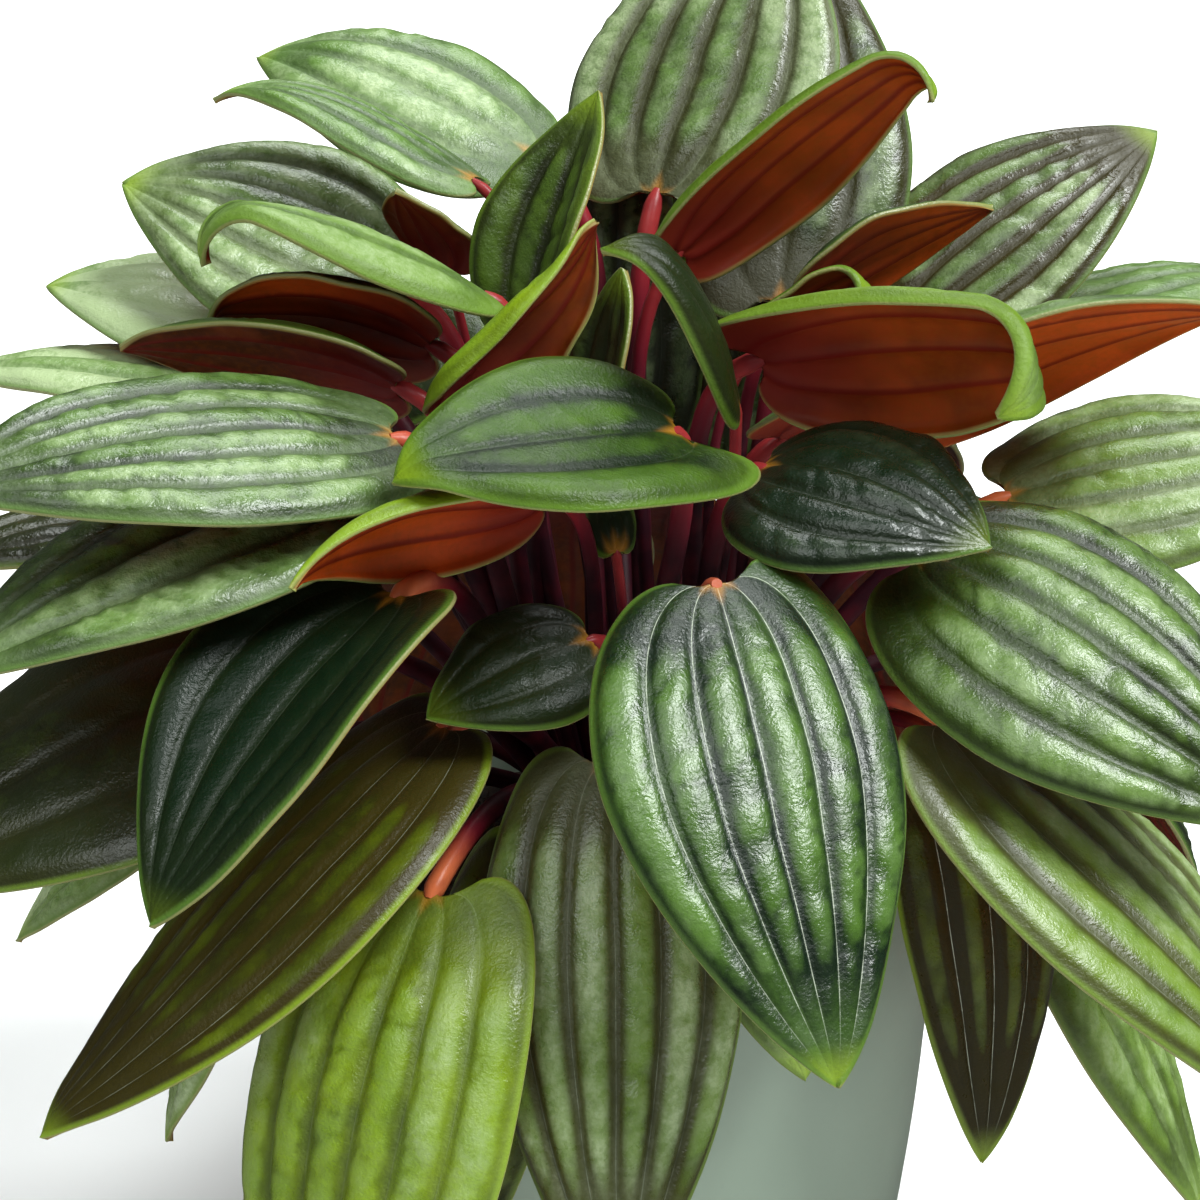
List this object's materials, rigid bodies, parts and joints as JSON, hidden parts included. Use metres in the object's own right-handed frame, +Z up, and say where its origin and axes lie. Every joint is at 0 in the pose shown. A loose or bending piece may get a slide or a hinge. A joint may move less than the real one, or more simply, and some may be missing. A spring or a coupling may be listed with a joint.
{
  "type": "potted ripple peperomia",
  "caption": "Ripple peperomia with thick, lengthwise-ribbed, heart-shaped leaves on reddish stalks, growing from soil in a plain round tapered pot.",
  "frame": {"origin": "centre of the pot's flat underside", "axes": "+Z up along the pot's axis; -Y towards the side the large front leaves hang over, +X to the right seen from that side"},
  "size_m": [0.2342, 0.1933, 0.2299],
  "materials": {
    "pot_glaze": "smooth matt sage-green glaze on stoneware",
    "potting_soil": "dark crumbly potting soil",
    "leaf_stalks": "smooth fleshy coral to crimson stalks",
    "leaf_blade": "thick glossy dark green upper side with paler ridges, matt red-brown underside"
  },
  "bodies": {
    "root": {"pot": "pot_glaze", "soil": "potting_soil", "stems": "leaf_stalks", "leaf_front_1": "leaf_blade", "leaf_front_2": "leaf_blade", "leaf_front_3": "leaf_blade", "leaf_front_4": "leaf_blade", "leaf_front_5": "leaf_blade", "leaf_front_6": "leaf_blade", "leaf_front_7": "leaf_blade", "leaf_inner_1": "leaf_blade", "leaf_inner_2": "leaf_blade", "leaf_inner_3": "leaf_blade", "leaf_inner_4": "leaf_blade", "leaf_inner_5": "leaf_blade", "leaf_inner_6": "leaf_blade", "leaf_inner_7": "leaf_blade", "leaf_inner_8": "leaf_blade", "leaf_inner_9": "leaf_blade", "leaf_back_1": "leaf_blade", "leaf_back_2": "leaf_blade", "leaf_back_3": "leaf_blade", "leaf_back_4": "leaf_blade", "leaf_back_5": "leaf_blade", "leaf_back_6": "leaf_blade", "leaf_back_7": "leaf_blade", "leaf_back_8": "leaf_blade", "leaf_back_9": "leaf_blade", "leaf_back_10": "leaf_blade", "leaf_left_1": "leaf_blade", "leaf_left_2": "leaf_blade", "leaf_left_3": "leaf_blade", "leaf_left_4": "leaf_blade", "leaf_left_5": "leaf_blade", "leaf_left_6": "leaf_blade", "leaf_left_7": "leaf_blade", "leaf_left_8": "leaf_blade", "leaf_left_9": "leaf_blade", "leaf_left_10": "leaf_blade", "leaf_left_11": "leaf_blade", "leaf_left_12": "leaf_blade", "leaf_left_13": "leaf_blade", "leaf_right_1": "leaf_blade", "leaf_right_2": "leaf_blade", "leaf_right_3": "leaf_blade", "leaf_right_4": "leaf_blade", "leaf_right_5": "leaf_blade", "leaf_right_6": "leaf_blade", "leaf_rear_1": "leaf_blade", "leaf_rear_2": "leaf_blade", "leaf_rear_3": "leaf_blade", "leaf_rear_4": "leaf_blade", "leaf_rear_5": "leaf_blade", "leaf_rear_6": "leaf_blade", "leaf_rear_7": "leaf_blade", "leaf_rear_8": "leaf_blade", "leaf_rear_9": "leaf_blade", "leaf_rear_10": "leaf_blade", "leaf_rear_11": "leaf_blade", "leaf_rear_12": "leaf_blade"}
  },
  "joints": []
}
